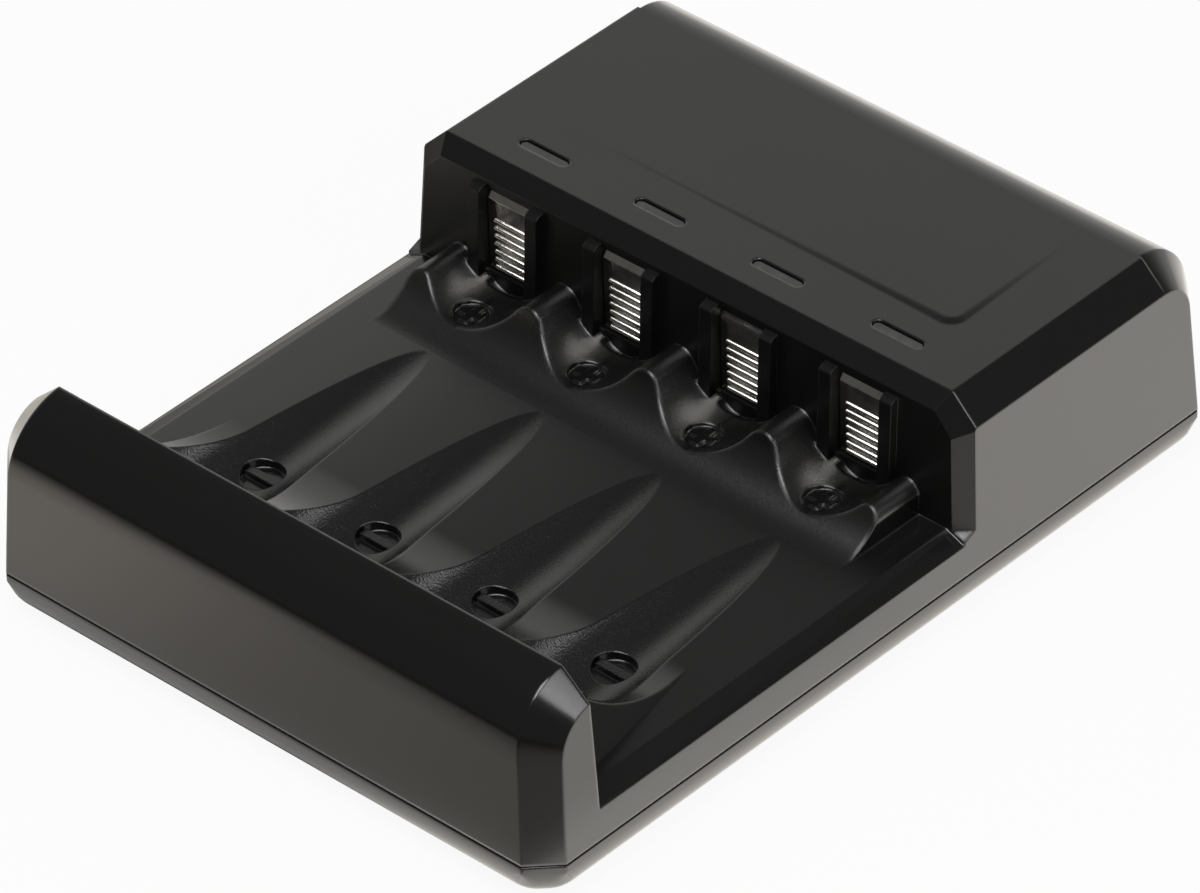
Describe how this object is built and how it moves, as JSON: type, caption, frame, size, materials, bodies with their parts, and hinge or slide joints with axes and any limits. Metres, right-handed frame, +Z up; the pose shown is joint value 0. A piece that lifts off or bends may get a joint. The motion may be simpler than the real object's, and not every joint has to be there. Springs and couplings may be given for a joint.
{
  "type": "battery charger",
  "caption": "Desk battery charger with side-by-side slots for round cells, a sprung leaf and a ribbed contact in each slot, light windows on top.",
  "frame": {"origin": "centre of the footprint, on the floor that the feet stand on", "axes": "+X across the slots to the right, +Y from the low front wall to the rear housing, +Z up"},
  "size_m": [0.0766, 0.1018, 0.0256],
  "materials": {
    "black_abs": "moulded, satin top and gloss bevels",
    "black_abs_lower": "moulded, satin gloss",
    "board": "green solder mask",
    "nickel": "bright nickel plate",
    "black_insert": "matte",
    "chip": "matte epoxy",
    "ferrite": "matte",
    "can": "satin",
    "screw_steel": "zinc",
    "foot_rubber": "matte",
    "led_body": "clear",
    "light_guide": "frosted grey"
  },
  "bodies": {
    "case": {"upper_housing": "black_abs", "lower_housing": "black_abs_lower", "main_board": "board", "inlet_shell": "nickel", "inlet_tongue": "black_insert", "charge_controller": "chip", "power_inductor": "ferrite", "input_capacitors": "can", "charge_transistors": "chip", "case_screws": "screw_steel", "board_screws": "screw_steel", "foot_1": "foot_rubber", "foot_2": "foot_rubber", "foot_3": "foot_rubber", "foot_4": "foot_rubber", "led_1": "led_body", "led_2": "led_body", "led_3": "led_body", "led_4": "led_body", "light_guide_1": "light_guide", "light_guide_2": "light_guide", "light_guide_3": "light_guide", "light_guide_4": "light_guide", "positive_contact_1": "nickel", "positive_contact_2": "nickel", "positive_contact_3": "nickel", "positive_contact_4": "nickel"},
    "spring_1": {"negative_spring_1": "nickel"},
    "spring_2": {"negative_spring_2": "nickel"},
    "spring_3": {"negative_spring_3": "nickel"},
    "spring_4": {"negative_spring_4": "nickel"}
  },
  "joints": [
    {"name": "spring_1_flex", "type": "hinge", "parent": "case", "child": "spring_1", "pos_m": [-0.024, -0.03915, 0.00595], "axis": [1, 0, 0], "range_deg": [0, 62], "stiffness_Nm_per_rad": 0.03},
    {"name": "spring_2_flex", "type": "hinge", "parent": "case", "child": "spring_2", "pos_m": [-0.008, -0.03915, 0.00595], "axis": [1, 0, 0], "range_deg": [0, 62], "stiffness_Nm_per_rad": 0.03},
    {"name": "spring_3_flex", "type": "hinge", "parent": "case", "child": "spring_3", "pos_m": [0.008, -0.03915, 0.00595], "axis": [1, 0, 0], "range_deg": [0, 62], "stiffness_Nm_per_rad": 0.03},
    {"name": "spring_4_flex", "type": "hinge", "parent": "case", "child": "spring_4", "pos_m": [0.024, -0.03915, 0.00595], "axis": [1, 0, 0], "range_deg": [0, 62], "stiffness_Nm_per_rad": 0.03}
  ]
}
